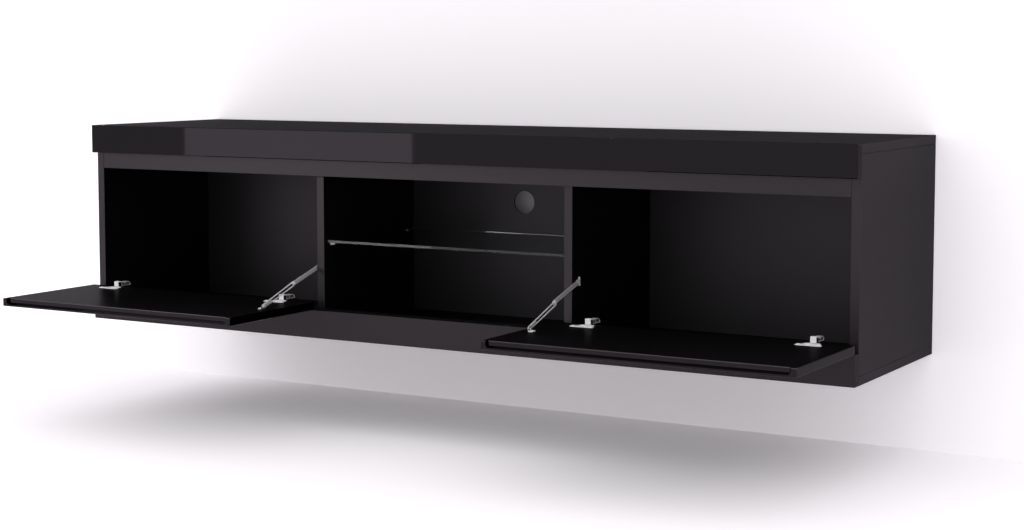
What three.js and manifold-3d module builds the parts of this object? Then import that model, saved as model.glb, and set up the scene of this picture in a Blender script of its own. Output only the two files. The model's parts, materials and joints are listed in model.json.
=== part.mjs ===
// Floating media console: a wall-hung cabinet with an open middle bay and two drop-down doors.
// Lengths are millimetres. x runs from the left end, y from the front towards the wall, z up from
// the underside. The finished group is moved so that its origin is on the wall, behind the hanging rail.
import * as THREE from "three";
import { mergeVertices } from "three/addons/utils/BufferGeometryUtils.js";
import { RoundedBoxGeometry } from "three/addons/geometries/RoundedBoxGeometry.js";
import Module from "manifold-3d";

const wasm = await Module();
wasm.setup();

// Overall size of the console.
const width = 1600;
const height = 388;
const depth = 396;

// Carcass boards: laminated chipboard, cut square and edge banded.
const board = 16;
const edgeRound = 0.6;
const seam = 0.2;
const overrun = 5;
const weld = 0.0001;

// High-gloss fascia above the openings and the band below them.
const frontThickness = 16;
const topFasciaHeight = 55;
const bottomFasciaHeight = 53;
const frontRound = 1.2;

// Rails behind the fascia and the band, and the board that hangs on the wall.
const topRailHeight = 70;
const hangingRailHeight = 80;

// Hardboard back, held in grooves, and the space behind it for cables.
const backThickness = 3;
const cableSpace = 52;
const grooveDepth = 5;
const grooveClearance = 0.25;
const cableHoleDiameter = 45;
const cableHoleHeight = 241.5;

// Glass shelf and the four pins that carry it.
const shelfThickness = 5;
const shelfUnderside = 176;
const shelfFrontInset = 7;
const shelfBackGap = 6;
const shelfEndGap = 1.5;
const glassArris = 0.7;
const pinDiameter = 5;
const pinReach = 8;
const pinHoleDepth = 9;
const pinCollarDiameter = 7;
const pinCollarThickness = 0.8;
const pinFrontInset = 16;
const pinBackInset = 21;

// Drop-down doors. The turning line lies just behind the outer face and just below the bottom edge.
const doorThickness = 15;
const doorHeight = 250.5;
const doorEndReveal = 0.5;
const doorBottomGap = 2.5;
const pivotBehindFace = 0.6;
const pivotBelowEdge = 1.6;

// Finger pull: a rebate milled in the inside of the door's top edge, stopped short of both ends.
const pullLip = 3.4;
const pullSetback = 5.5;
const pullGrooveDepth = 12;
const pullGrooveWidth = 2.6;
const pullGrooveAtEnds = 3.2;
const pullEdgeRound = 1;
const pullEndMargin = 9;
const pullEndRadius = 6;

// Cup hinges: cup and flange in the door, hood over the links, and the plate on the bottom rail.
const hingeFromLeft = 72;
const hingeFromRight = 64.5;
const cupDiameter = 26;
const cupDepth = 10.5;
const cupWall = 1;
const cupClearance = 0.3;
const cupFromEdge = 23.5;
const cupRim = 2.2;
const wingWidth = 48;
const wingDepth = 16;
const wingFromCup = 8.5;
const flangeThickness = 2.4;
const wingRound = 4;
const hoodWidth = 10.6;
const hoodHeight = 9.6;
const hoodWall = 1.5;
const hoodFromEdge = 15.5;
const hoodReach = 20;
const hoodRadius = 9.4;
const hoodHole = 3.4;
const hoodHoleInset = 4.2;
const hingePlateThickness = 1.6;
const hingePlateWidth = 44;
const hingePlateHeight = 32;
const hingePlateTab = 7;
const hingeEarThickness = 1.6;
const hingeEarReach = 14.5;
const hingeEarRise = 6;
const hingeRunningGap = 1.2;
const railNotchSpare = 1.5;

// Flap stays: a plain upper arm on the divider and a slotted lower arm on the door.
const stayPivotBack = 17.1;
const stayPivotHeight = 132.5;
const stayFootFromEdge = 126.5;
const stayFootHeight = 5.2;
const stayArmLength = 91;
const stayUpperTilt = THREE.MathUtils.degToRad(-1.75);
const stayLowerTilt = THREE.MathUtils.degToRad(0.79);
const staySteel = 1.5;
const stayGap = 0.3;
const upperArmWidth = 8.4;
const lowerArmWidth = 10;
const lowerArmEndRadius = 4.7;
const slotWidth = 5.5;
const slotStart = 26;
const stayShank = 2.2;
const stayShankGap = 0.15;
const stayHeadDiameter = 5.4;
const stayHeadThickness = 0.8;
const bracketPlateWidth = 7;
const bracketPlateHeight = 18;
const bracketPlateSetback = 8;
const bracketPlateRound = 1.5;
const bracketEyeRadius = 4.5;
const footLength = 26;
const footFlangeWidth = 11;
const footFlangeRound = 1.5;
const footEyeRadius = 4.6;

// Keyhole plates let into the back of the hanging rail.
const hangerInset = 200;
const hangerWidth = 60;
const hangerHeight = 40;
const hangerThickness = 2;
const hangerCornerRadius = 2;
const hangerClearance = 0.3;
const keyholeHead = 12;
const keyholeSlot = 6.5;
const keyholeRise = 11;
const keyholePocketDepth = 9;
const keyholePocketSpare = 3;

// Places worked out from the sizes above.
const compartment = (width - 4 * board) / 3;
const carcassFront = frontThickness;
const dividerFront = carcassFront + board;
const backFace = depth - cableSpace - backThickness;
const ceiling = height - board;
const topRailBottom = ceiling - topRailHeight;
const leftDividerStart = board + compartment;
const rightDividerStart = leftDividerStart + board + compartment;
const doorWidth = compartment + 2 * board - 2 * doorEndReveal;
const pivotHeight = bottomFasciaHeight + doorBottomGap - pivotBelowEdge;
const wallPointHeight = ceiling - hangingRailHeight / 2;

// Facets of a full circle, and angles.
const roundSegments = 24;
const smallRoundSegments = 12;
const smallRadius = 3.5;
const fullTurn = 2 * Math.PI;
const halfTurn = Math.PI;
const quarterTurn = Math.PI / 2;

const laminate = new THREE.MeshStandardMaterial({ color: 0x2b2a2d, roughness: 0.5 });
const gloss = new THREE.MeshStandardMaterial({ color: 0x131315, roughness: 0.08 });
const hardboard = new THREE.MeshStandardMaterial({ color: 0x1c1b1e, roughness: 0.75 });
const nickel = new THREE.MeshStandardMaterial({ color: 0xc9cacd, roughness: 0.28, metalness: 1 });
const zinc = new THREE.MeshStandardMaterial({ color: 0xa9acb0, roughness: 0.42, metalness: 1 });
const glass = new THREE.MeshStandardMaterial({
  color: 0x9fb0ac,
  roughness: 0.04,
  transparent: true,
  opacity: 0.35,
});

// A closed geometry as a solid that can be cut and joined.
function solidOf(geometry) {
  const bare = geometry.index ? geometry.toNonIndexed() : geometry.clone();
  bare.deleteAttribute("normal");
  bare.deleteAttribute("uv");
  const merged = mergeVertices(bare, weld);
  return new wasm.Manifold(
    new wasm.Mesh({
      numProp: 3,
      vertProperties: merged.attributes.position.array,
      triVerts: new Uint32Array(merged.index.array),
    }),
  );
}

// A solid back to a geometry with flat faces.
function geometryOf(solid) {
  const mesh = solid.getMesh();
  const geometry = new THREE.BufferGeometry();
  geometry.setAttribute("position", new THREE.BufferAttribute(mesh.vertProperties, 3));
  geometry.setIndex(new THREE.BufferAttribute(mesh.triVerts, 1));
  const flat = geometry.toNonIndexed();
  flat.computeVertexNormals();
  return flat;
}

// A block between two corners, with its edges eased by the given radius.
function block(from, to, round = 0) {
  const size = to.map((value, i) => value - from[i]);
  const geometry = round
    ? new RoundedBoxGeometry(size[0], size[1], size[2], 1, round)
    : new THREE.BoxGeometry(size[0], size[1], size[2]);
  return geometry.translate(
    from[0] + size[0] / 2,
    from[1] + size[1] / 2,
    from[2] + size[2] / 2,
  );
}

// An outline pushed along its own normal from start for a length, then laid into place.
function extruded(shape, length, rows) {
  const geometry = new THREE.ExtrudeGeometry(shape, { depth: length, bevelEnabled: false });
  return geometry.applyMatrix4(new THREE.Matrix4().set(...rows));
}

// An outline drawn in y and z, carried along x.
function alongX(shape, start, length) {
  return extruded(shape, length, [0, 0, 1, start, 1, 0, 0, 0, 0, 1, 0, 0, 0, 0, 0, 1]);
}

// An outline drawn in z and x, carried along y.
function alongY(shape, start, length) {
  return extruded(shape, length, [0, 1, 0, 0, 0, 0, 1, start, 1, 0, 0, 0, 0, 0, 0, 1]);
}

// An outline drawn in x and y, carried along z.
function alongZ(shape, start, length) {
  return extruded(shape, length, [1, 0, 0, 0, 0, 1, 0, 0, 0, 0, 1, start, 0, 0, 0, 1]);
}

// Points round an arc, with fewer on small radii.
function arc(u, v, radius, from, to) {
  const whole = radius < smallRadius ? smallRoundSegments : roundSegments;
  const steps = Math.max(2, Math.ceil((whole * Math.abs(to - from)) / fullTurn));
  return Array.from({ length: steps + 1 }, (_, i) => {
    const angle = from + ((to - from) * i) / steps;
    return new THREE.Vector2(u + radius * Math.cos(angle), v + radius * Math.sin(angle));
  });
}

function circle(u, v, radius) {
  return new THREE.Shape(arc(u, v, radius, 0, fullTurn).slice(1));
}

function roundedRectangle(u0, u1, v0, v1, radius) {
  return new THREE.Shape([
    ...arc(u1 - radius, v0 + radius, radius, -quarterTurn, 0),
    ...arc(u1 - radius, v1 - radius, radius, 0, quarterTurn),
    ...arc(u0 + radius, v1 - radius, radius, quarterTurn, halfTurn),
    ...arc(u0 + radius, v0 + radius, radius, halfTurn, halfTurn + quarterTurn),
  ]);
}

// A bar with round ends, from u = 0 to u = length, which may be narrower at its first end.
function barOutline(length, firstRadius, lastRadius) {
  const lean = Math.asin((lastRadius - firstRadius) / length);
  return new THREE.Shape([
    ...arc(length, 0, lastRadius, -quarterTurn - lean, quarterTurn + lean),
    ...arc(0, 0, firstRadius, quarterTurn + lean, halfTurn + quarterTurn - lean),
  ]);
}

// A slot with round ends, from start to end.
function slotOutline(start, end, radius) {
  return new THREE.Shape([
    ...arc(end, 0, radius, -quarterTurn, quarterTurn),
    ...arc(start, 0, radius, quarterTurn, halfTurn + quarterTurn),
  ]);
}

function named(name, geometry, material) {
  const mesh = new THREE.Mesh(geometry, material);
  mesh.name = name;
  return mesh;
}

const root = new THREE.Group();
root.position.set(-width / 2, -depth, -wallPointHeight);

// Top and bottom panels run the full width, over and under the upright boards.
// Both are grooved near the back for the hardboard.
const grooveStart = backFace - grooveClearance;
const grooveEnd = backFace + backThickness + grooveClearance;

function flatPanel(name, underside, grooveFrom) {
  const panel = solidOf(
    block([0, carcassFront, underside], [width, depth, underside + board], edgeRound),
  );
  const groove = block(
    [board - grooveDepth, grooveStart, grooveFrom],
    [width - board + grooveDepth, grooveEnd, grooveFrom + grooveDepth + overrun],
  );
  return named(name, geometryOf(panel.subtract(solidOf(groove))), laminate);
}
root.add(flatPanel("bottom_panel", 0, board - grooveDepth));
root.add(flatPanel("top_panel", ceiling, ceiling - overrun));

// Side panels stand between them, with the same groove on the inside.
function sidePanel(name, start, grooveFrom) {
  const panel = solidOf(
    block(
      [start, carcassFront, board + seam],
      [start + board, depth, ceiling - seam],
      edgeRound,
    ),
  );
  const groove = block(
    [grooveFrom, grooveStart, board - overrun],
    [grooveFrom + grooveDepth + overrun, grooveEnd, ceiling + overrun],
  );
  return named(name, geometryOf(panel.subtract(solidOf(groove))), laminate);
}
root.add(sidePanel("left_side", 0, board - grooveDepth));
root.add(sidePanel("right_side", width - board, width - board - overrun));

// Dividers reach from the rails to the hardboard. The faces to the middle bay are bored for the pins.
const shelfFront = dividerFront + shelfFrontInset;
const shelfBack = backFace - shelfBackGap;
const pinPlaces = [shelfFront + pinFrontInset, shelfBack - pinBackInset];
const pinHeight = shelfUnderside - seam - pinDiameter / 2;
const pinBoreRadius = pinDiameter / 2 + seam;

function divider(name, start, boredFace) {
  let panel = solidOf(
    block(
      [start, dividerFront, board + seam],
      [start + board, backFace - seam, ceiling - seam],
      edgeRound,
    ),
  );
  const boreStart = boredFace === start ? start - overrun : boredFace - pinHoleDepth;
  for (const place of pinPlaces) {
    const bore = alongX(circle(place, pinHeight, pinBoreRadius), boreStart, pinHoleDepth + overrun);
    panel = panel.subtract(solidOf(bore));
  }
  return named(name, geometryOf(panel), laminate);
}
root.add(divider("left_divider", leftDividerStart, leftDividerStart + board));
root.add(divider("right_divider", rightDividerStart, rightDividerStart));

// The hardboard back has one round hole in the middle bay for cables.
const backReach = board - grooveDepth + grooveClearance;
const backBoard = solidOf(
  block([backReach, backFace, backReach], [width - backReach, backFace + backThickness, height - backReach]),
);
const cableHole = alongY(
  circle(cableHoleHeight, width / 2, cableHoleDiameter / 2),
  backFace - overrun,
  backThickness + 2 * overrun,
);
root.add(named("back_panel", geometryOf(backBoard.subtract(solidOf(cableHole))), hardboard));

// The top rail closes the front above the openings, between the sides.
root.add(
  named(
    "top_front_rail",
    block(
      [board + seam, carcassFront, topRailBottom],
      [width - board - seam, dividerFront - seam, ceiling - seam],
      edgeRound,
    ),
    laminate,
  ),
);

// Gloss fascia above and band below, glued to the front edges of the carcass.
function frontBoard(name, underside, top) {
  return named(
    name,
    block([0, 0, underside], [width, carcassFront - seam, top], frontRound),
    gloss,
  );
}
root.add(frontBoard("top_fascia", height - topFasciaHeight, height));
root.add(frontBoard("bottom_fascia", 0, bottomFasciaHeight));

// Where each door starts, and the middle of each of its hinges.
const doors = [
  { side: "left", start: doorEndReveal, stayFace: leftDividerStart, outward: -1 },
  { side: "right", start: width - doorEndReveal - doorWidth, stayFace: rightDividerStart + board, outward: 1 },
];
const hingePlaces = [
  { end: "left", offset: hingeFromLeft },
  { end: "right", offset: doorWidth - hingeFromRight },
];
const hingeCentres = doors.flatMap((door) => hingePlaces.map((hinge) => door.start + hinge.offset));

// The bottom rail stands on the bottom panel behind the band. It is notched where the hinge hoods
// swing down into it as the doors close.
const hoodLow = pivotHeight - hoodReach;
const earInside = hoodWidth / 2 + hingeRunningGap;
const notchHalf = earInside + hingeEarThickness + seam;
let bottomRail = solidOf(
  block(
    [board + seam, carcassFront, board + seam],
    [width - board - seam, dividerFront - seam, bottomFasciaHeight],
    edgeRound,
  ),
);
for (const centre of hingeCentres) {
  const notch = block(
    [centre - notchHalf, carcassFront - overrun, hoodLow - railNotchSpare],
    [centre + notchHalf, dividerFront + overrun, bottomFasciaHeight + overrun],
  );
  bottomRail = bottomRail.subtract(solidOf(notch));
}
root.add(named("bottom_front_rail", geometryOf(bottomRail), laminate));

// The hanging rail closes the top of the cable space. Two plates are let into its back, with a
// deeper pocket behind each keyhole for the head of the wall screw.
const hangerCentres = [
  { name: "left_hanger_plate", x: hangerInset },
  { name: "right_hanger_plate", x: width - hangerInset },
];
const hangerLow = wallPointHeight - hangerHeight / 2;
const keyholeLow = wallPointHeight - keyholeRise / 2;

let hangingRail = solidOf(
  block(
    [board + seam, depth - board, ceiling - hangingRailHeight],
    [width - board - seam, depth, ceiling - seam],
    edgeRound,
  ),
);
for (const hanger of hangerCentres) {
  const recess = block(
    [hanger.x - hangerWidth / 2 - hangerClearance, depth - hangerThickness - seam, hangerLow - hangerClearance],
    [hanger.x + hangerWidth / 2 + hangerClearance, depth + overrun, hangerLow + hangerHeight + hangerClearance],
  );
  const pocketHalf = keyholeHead / 2 + keyholePocketSpare;
  const pocket = block(
    [hanger.x - pocketHalf, depth - keyholePocketDepth, keyholeLow - pocketHalf],
    [hanger.x + pocketHalf, depth + overrun, keyholeLow + keyholeRise + pocketHalf],
  );
  hangingRail = hangingRail.subtract(solidOf(recess)).subtract(solidOf(pocket));
}
root.add(named("hanging_rail", geometryOf(hangingRail), laminate));

for (const hanger of hangerCentres) {
  const outline = roundedRectangle(
    hangerLow,
    hangerLow + hangerHeight,
    hanger.x - hangerWidth / 2,
    hanger.x + hangerWidth / 2,
    hangerCornerRadius,
  );
  const plate = solidOf(alongY(outline, depth - hangerThickness, hangerThickness));
  const head = alongY(
    circle(keyholeLow, hanger.x, keyholeHead / 2),
    depth - hangerThickness - overrun,
    hangerThickness + 2 * overrun,
  );
  const neck = alongY(
    roundedRectangle(
      keyholeLow,
      keyholeLow + keyholeRise + keyholeSlot / 2,
      hanger.x - keyholeSlot / 2,
      hanger.x + keyholeSlot / 2,
      keyholeSlot / 2,
    ),
    depth - hangerThickness - overrun,
    hangerThickness + 2 * overrun,
  );
  root.add(named(hanger.name, geometryOf(plate.subtract(solidOf(head)).subtract(solidOf(neck))), zinc));
}

// Glass shelf: its long edges have a small ground arris.
const shelfOutline = new THREE.Shape([
  new THREE.Vector2(shelfFront + glassArris, shelfUnderside),
  new THREE.Vector2(shelfBack - glassArris, shelfUnderside),
  new THREE.Vector2(shelfBack, shelfUnderside + glassArris),
  new THREE.Vector2(shelfBack, shelfUnderside + shelfThickness - glassArris),
  new THREE.Vector2(shelfBack - glassArris, shelfUnderside + shelfThickness),
  new THREE.Vector2(shelfFront + glassArris, shelfUnderside + shelfThickness),
  new THREE.Vector2(shelfFront, shelfUnderside + shelfThickness - glassArris),
  new THREE.Vector2(shelfFront, shelfUnderside + glassArris),
]);
const bayLeft = leftDividerStart + board;
root.add(
  named(
    "glass_shelf",
    alongX(shelfOutline, bayLeft + shelfEndGap, compartment - 2 * shelfEndGap),
    glass,
  ),
);

// A shelf pin: a turned peg in its bore, with a collar against the divider and a stub under the glass.
const pinProfile = [
  new THREE.Vector2(0, -pinHoleDepth + seam),
  new THREE.Vector2(pinDiameter / 2, -pinHoleDepth + seam),
  new THREE.Vector2(pinDiameter / 2, seam),
  new THREE.Vector2(pinCollarDiameter / 2, seam),
  new THREE.Vector2(pinCollarDiameter / 2, pinCollarThickness),
  new THREE.Vector2(pinDiameter / 2, pinCollarThickness),
  new THREE.Vector2(pinDiameter / 2, pinReach),
  new THREE.Vector2(0, pinReach),
];

function shelfPin(name, face, inward, place) {
  const pin = named(name, new THREE.LatheGeometry(pinProfile, roundSegments), nickel);
  pin.position.set(face, place, pinHeight);
  pin.rotation.z = -inward * quarterTurn;
  return pin;
}
const pinSides = [
  { name: "left", face: bayLeft, inward: 1 },
  { name: "right", face: rightDividerStart, inward: -1 },
];
for (const side of pinSides) {
  ["front", "back"].forEach((row, i) => {
    root.add(shelfPin(side.name + "_" + row + "_shelf_pin", side.face, side.inward, pinPlaces[i]));
  });
}

// Each door is drawn shut, about its turning line, and its group is turned down to the open rest.
// Within that group y is the distance behind the turning line and z the height above it.
const doorOuter = -pivotBehindFace;
const doorInner = doorOuter + doorThickness;
const doorBottom = pivotBelowEdge;
const doorTop = doorBottom + doorHeight;
const cupHeight = doorBottom + cupFromEdge;

// The milled pull: the edge stands back behind a lip, with a deeper groove between them for the
// fingertips. The groove turns up at both ends, round rounded corners.
function pullCutter() {
  const lipInside = doorOuter + pullLip;
  const floor = doorTop - pullSetback;
  const grooveFloor = doorTop - pullGrooveDepth;
  const landStart = lipInside + pullGrooveWidth;
  const rise = doorTop + overrun - grooveFloor;
  const profile = new THREE.Shape([
    new THREE.Vector2(lipInside, doorTop + overrun),
    new THREE.Vector2(lipInside, grooveFloor),
    new THREE.Vector2(landStart, grooveFloor),
    ...arc(landStart + pullEdgeRound, floor - pullEdgeRound, pullEdgeRound, halfTurn, quarterTurn),
    new THREE.Vector2(doorInner + overrun, floor),
    new THREE.Vector2(doorInner + overrun, doorTop + overrun),
  ]);
  const outlineAt = (inset, low, radius) =>
    roundedRectangle(
      pullEndMargin + inset,
      doorWidth - pullEndMargin - inset,
      low,
      doorInner + overrun + pullEndRadius,
      radius,
    );
  const whole = solidOf(alongZ(outlineAt(0, lipInside, pullEndRadius), grooveFloor, rise));
  const landRadius = pullEndRadius - pullGrooveWidth;
  const land = solidOf(alongZ(outlineAt(pullGrooveAtEnds, landStart, landRadius), grooveFloor, rise));
  return whole.subtract(land).add(whole.intersect(solidOf(alongX(profile, 0, doorWidth))));
}

function doorPanel(name) {
  let panel = solidOf(
    block([0, doorOuter, doorBottom], [doorWidth, doorInner, doorTop], frontRound),
  );
  panel = panel.subtract(pullCutter());
  for (const hinge of hingePlaces) {
    const bore = alongY(
      circle(cupHeight, hinge.offset, cupDiameter / 2 + cupClearance),
      doorInner - cupDepth - cupClearance,
      cupDepth + cupClearance + overrun,
    );
    panel = panel.subtract(solidOf(bore));
  }
  return named(name, geometryOf(panel), gloss);
}

// Hinge cup: a pressed bowl with a rim and two screwed wings that lie on the door's inner face.
function hingeCup(name, centre) {
  const wingMiddle = cupHeight + wingFromCup;
  const wings = alongY(
    roundedRectangle(
      wingMiddle - wingDepth / 2,
      wingMiddle + wingDepth / 2,
      centre - wingWidth / 2,
      centre + wingWidth / 2,
      wingRound,
    ),
    doorInner + seam,
    flangeThickness,
  );
  const rim = alongY(
    circle(cupHeight, centre, cupDiameter / 2 + cupRim),
    doorInner + seam,
    flangeThickness,
  );
  const bowl = alongY(
    circle(cupHeight, centre, cupDiameter / 2),
    doorInner - cupDepth,
    cupDepth + seam + flangeThickness,
  );
  const hollow = alongY(
    circle(cupHeight, centre, cupDiameter / 2 - cupWall),
    doorInner - cupDepth + cupWall,
    cupDepth + flangeThickness + overrun,
  );
  const cup = solidOf(wings).add(solidOf(rim)).add(solidOf(bowl)).subtract(solidOf(hollow));
  return named(name, geometryOf(cup), nickel);
}

// Hinge hood: pressed steel over the links, with a quarter-round heel that swings into the rail.
function hingeHood(name, centre) {
  const base = doorInner + 2 * seam + flangeThickness;
  const top = base + hoodHeight;
  const front = doorBottom + hoodFromEdge;
  const heelCentre = hoodRadius - hoodReach;
  const outlineOf = (wall) => {
    const radius = hoodRadius - wall;
    const low = base - wall;
    const sweep = Math.asin((low - (top - hoodRadius)) / radius);
    return new THREE.Shape([
      new THREE.Vector2(top - wall, front - wall),
      new THREE.Vector2(low, front - wall),
      ...arc(top - hoodRadius, heelCentre, radius, -quarterTurn + sweep, 0),
    ]);
  };
  const outer = solidOf(alongX(outlineOf(0), centre - hoodWidth / 2, hoodWidth));
  const inner = solidOf(
    alongX(outlineOf(hoodWall), centre - hoodWidth / 2 + hoodWall, hoodWidth - 2 * hoodWall),
  );
  const pinHole = alongX(
    circle(base + hoodHoleInset, front - hoodHoleInset, hoodHole / 2),
    centre - hoodWidth / 2 - overrun,
    hoodWidth + 2 * overrun,
  );
  return named(name, geometryOf(outer.subtract(inner).subtract(solidOf(pinHole))), nickel);
}

// Hinge plate: screwed to the back of the bottom rail and hooked over its top edge. Two ears stand
// in the notch, one on each side of the hood.
function hingePlate(name, centre) {
  const back = dividerFront;
  const low = bottomFasciaHeight - hingePlateHeight;
  const rise = bottomFasciaHeight + seam;
  const tabLift = rise + hingePlateThickness;
  const half = hingePlateWidth / 2;
  let plate = solidOf(
    block([centre - half, back, low], [centre + half, back + hingePlateThickness, tabLift]),
  );
  const window = block(
    [centre - earInside, back - overrun, hoodLow - railNotchSpare],
    [centre + earInside, back + overrun, tabLift + overrun],
  );
  plate = plate.subtract(solidOf(window));
  for (const hand of [-1, 1]) {
    const tabNear = centre + hand * (notchHalf + seam);
    const tabFar = centre + hand * half;
    const tab = block(
      [Math.min(tabNear, tabFar), back - hingePlateTab, rise],
      [Math.max(tabNear, tabFar), back + hingePlateThickness, tabLift],
    );
    const earNear = centre + hand * earInside;
    const earFar = earNear + hand * hingeEarThickness;
    const ear = block(
      [Math.min(earNear, earFar), back - hingeEarReach, hoodLow],
      [Math.max(earNear, earFar), back + hingePlateThickness, rise + hingeEarRise],
    );
    plate = plate.add(solidOf(tab)).add(solidOf(ear));
  }
  return named(name, geometryOf(plate), zinc);
}

// The stay's two pivots as places in y and z, and the arm directions between them at rest.
const stayTop = new THREE.Vector2(dividerFront + stayPivotBack, stayPivotHeight);
const stayFoot = new THREE.Vector2(
  pivotBehindFace - doorBottom - stayFootFromEdge,
  pivotHeight + doorInner + stayFootHeight,
);
const stayLine = Math.atan2(stayTop.y - stayFoot.y, stayTop.x - stayFoot.x);
const upperAngle = stayLine + halfTurn + stayUpperTilt;
const lowerAngle = stayLine + stayLowerTilt;
const rivetPlace = new THREE.Vector2(
  stayTop.x + stayArmLength * Math.cos(upperAngle),
  stayTop.y + stayArmLength * Math.sin(upperAngle),
);
const rivetRun = rivetPlace.distanceTo(stayFoot);
const shankRadius = stayShank / 2;
const holeRadius = shankRadius + stayShankGap;

// Layers of the stay, counted out from the divider's face.
const bracketLayer = seam;
const upperLayer = bracketLayer + staySteel + stayGap;
const lowerLayer = upperLayer + staySteel + stayGap;
const earLayer = lowerLayer + staySteel + stayGap;

// A flat piece of the stay: an outline in y and z, at a layer from the divider's face.
function stayPlate(shape, layer, thickness, outward) {
  const start = outward > 0 ? layer : -layer - thickness;
  return alongX(shape, start, thickness);
}

// A headed pin from one layer to another, with its head beyond the end.
function stayPin(from, to, outward) {
  const shank = stayPlate(circle(0, 0, shankRadius), from, to - from, outward);
  const head = stayPlate(circle(0, 0, stayHeadDiameter / 2), to, stayHeadThickness, outward);
  return solidOf(shank).add(solidOf(head));
}

function stayUpperArm(name, outward) {
  const outline = barOutline(stayArmLength, upperArmWidth / 2, upperArmWidth / 2);
  outline.holes.push(circle(0, 0, holeRadius));
  outline.holes.push(circle(stayArmLength, 0, holeRadius));
  const arm = named(name, stayPlate(outline, upperLayer, staySteel, outward), zinc);
  arm.rotation.x = upperAngle;
  return arm;
}

function stayRivet(name, outward) {
  const tail = stayPlate(
    circle(0, 0, stayHeadDiameter / 2),
    bracketLayer + stayGap,
    staySteel - stayGap,
    outward,
  );
  const shankStart = bracketLayer + staySteel;
  const rivet = stayPin(shankStart, earLayer, outward).add(solidOf(tail));
  const mesh = named(name, geometryOf(rivet), nickel);
  mesh.position.set(0, stayArmLength * Math.cos(upperAngle), stayArmLength * Math.sin(upperAngle));
  return mesh;
}

function stayLowerArm(name, outward) {
  const slotEnd = rivetRun - stayGap;
  const outline = barOutline(slotEnd, lowerArmEndRadius, lowerArmWidth / 2);
  outline.holes.push(circle(0, 0, holeRadius));
  outline.holes.push(slotOutline(slotStart, slotEnd, slotWidth / 2));
  const arm = named(name, stayPlate(outline, lowerLayer, staySteel, outward), zinc);
  arm.rotation.x = lowerAngle;
  return arm;
}

// Cabinet bracket: a narrow upright strip screwed to the divider, with an eye and a pin for the arm.
function stayBracket(name, outward) {
  const strip = roundedRectangle(
    bracketPlateSetback - bracketPlateWidth / 2,
    bracketPlateSetback + bracketPlateWidth / 2,
    -bracketPlateHeight / 2,
    bracketPlateHeight / 2,
    bracketPlateRound,
  );
  const eye = barOutline(bracketPlateSetback, bracketEyeRadius, bracketPlateWidth / 2);
  const bracket = solidOf(stayPlate(strip, bracketLayer, staySteel, outward))
    .add(solidOf(stayPlate(eye, bracketLayer, staySteel, outward)))
    .add(stayPin(bracketLayer, lowerLayer, outward));
  return named(name, geometryOf(bracket), zinc);
}

// Door foot: an angle with a flange on the door and an ear that stands up beside the lower arm.
// It is drawn about its pin, where y is the distance from the door's inner face.
function stayFootPiece(name, outward) {
  const low = seam - stayFootHeight;
  const ear = new THREE.Shape([
    ...arc(0, 0, footEyeRadius, -quarterTurn, quarterTurn),
    new THREE.Vector2(low, footLength / 2),
    new THREE.Vector2(low, -footLength / 2),
  ]);
  const near = outward * earLayer;
  const far = outward * (earLayer + footFlangeWidth);
  const flange = roundedRectangle(
    -footLength / 2,
    footLength / 2,
    Math.min(near, far),
    Math.max(near, far),
    footFlangeRound,
  );
  const shank = stayPlate(
    circle(0, 0, shankRadius),
    lowerLayer - stayGap,
    earLayer - lowerLayer + stayGap,
    outward,
  );
  const head = stayPlate(
    circle(0, 0, stayHeadDiameter / 2),
    lowerLayer - stayGap - stayHeadThickness,
    stayHeadThickness,
    outward,
  );
  const foot = solidOf(stayPlate(ear, earLayer, staySteel, outward))
    .add(solidOf(alongY(flange, low, staySteel)))
    .add(solidOf(shank))
    .add(solidOf(head));
  return named(name, geometryOf(foot), nickel);
}

for (const door of doors) {
  const swing = new THREE.Group();
  swing.position.set(door.start, pivotBehindFace, pivotHeight);
  swing.rotation.x = quarterTurn;
  swing.add(doorPanel(door.side + "_door"));
  for (const hinge of hingePlaces) {
    const name = door.side + "_door_" + hinge.end + "_hinge_";
    swing.add(hingeCup(name + "cup", hinge.offset));
    swing.add(hingeHood(name + "hood", hinge.offset));
    root.add(hingePlate(name + "plate", door.start + hinge.offset));
  }
  const foot = stayFootPiece(door.side + "_stay_foot", door.outward);
  foot.position.set(door.stayFace - door.start, doorInner + stayFootHeight, doorBottom + stayFootFromEdge);
  swing.add(foot);
  root.add(swing);

  const top = new THREE.Group();
  top.position.set(door.stayFace, stayTop.x, stayTop.y);
  top.add(stayBracket(door.side + "_stay_bracket", door.outward));
  top.add(stayUpperArm(door.side + "_stay_upper_arm", door.outward));
  top.add(stayRivet(door.side + "_stay_rivet", door.outward));
  root.add(top);

  const low = new THREE.Group();
  low.position.set(door.stayFace, stayFoot.x, stayFoot.y);
  low.add(stayLowerArm(door.side + "_stay_lower_arm", door.outward));
  root.add(low);
}

export default root;
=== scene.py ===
"""Looks of the floating media console: satin black boards, gloss fronts, a glass shelf and nickel
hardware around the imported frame, in metres."""

import json

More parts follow.
